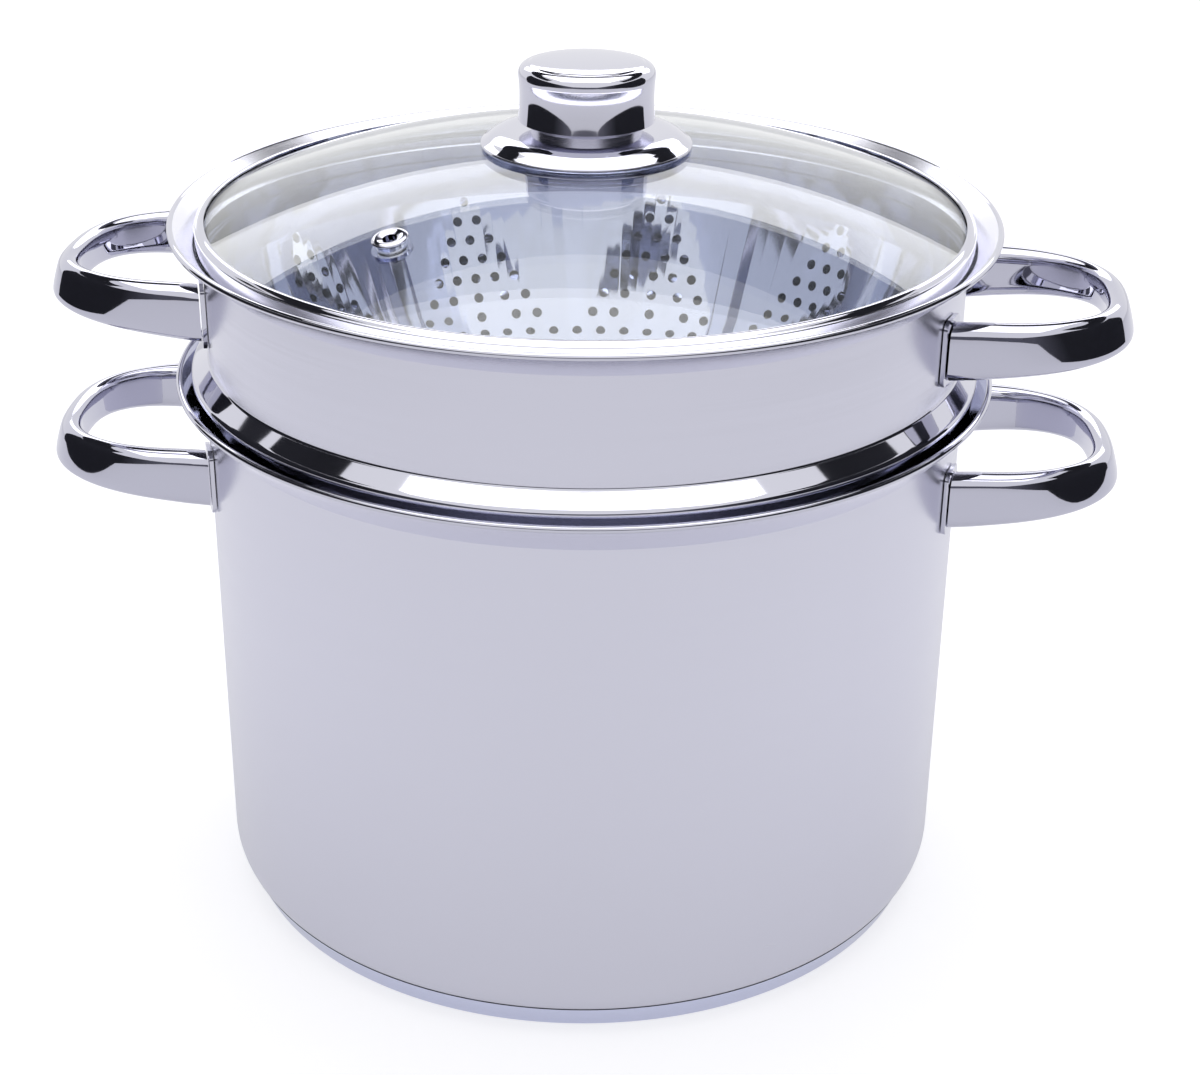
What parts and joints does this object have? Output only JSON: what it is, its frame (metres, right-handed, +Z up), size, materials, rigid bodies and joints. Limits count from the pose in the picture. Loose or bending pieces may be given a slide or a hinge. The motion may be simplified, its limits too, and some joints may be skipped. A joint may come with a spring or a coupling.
{
  "type": "pasta pot with colander",
  "caption": "Tall steel cooking pot with loop handles, a lift-out perforated colander seated in its mouth and a domed glass lid with a steel knob and steam vent.",
  "frame": {"origin": "middle of the underside of the base, where the pot stands on the hob", "axes": "+Z up along the axis of the pot, colander and lid; +X along the pot's two handles"},
  "size_m": [0.344, 0.2578, 0.2713],
  "materials": {
    "steel": "satin",
    "polished": "polished",
    "aluminium": "plain",
    "glass": "clear",
    "silicone": "matt"
  },
  "bodies": {
    "pot": {"pot_shell": "steel", "base_core": "aluminium", "base_cap": "polished", "pot_handle_right": "polished", "pot_bracket_right_front": "polished", "pot_bracket_right_back": "polished", "pot_handle_left": "polished", "pot_bracket_left_front": "polished", "pot_bracket_left_back": "polished"},
    "colander": {"colander_band": "steel", "colander_basket": "steel", "colander_floor": "steel", "colander_handle_right": "polished", "colander_bracket_right_front": "polished", "colander_bracket_right_back": "polished", "colander_handle_left": "polished", "colander_bracket_left_front": "polished", "colander_bracket_left_back": "polished"},
    "lid": {"lid_glass": "glass", "lid_band": "polished", "vent_eyelet": "polished", "vent_washer": "polished", "knob_seal": "silicone", "knob_flange": "polished", "knob_cap": "polished", "knob_insert": "aluminium", "lower_seal": "silicone", "screw_washer": "steel", "knob_screw": "steel"}
  },
  "joints": [
    {"name": "colander_lift", "type": "slide", "parent": "pot", "child": "colander", "axis": [0, 0, 1], "range_m": [0, 0.12]},
    {"name": "lid_lift", "type": "slide", "parent": "colander", "child": "lid", "axis": [0, 0, 1], "range_m": [0, 0.08]}
  ]
}
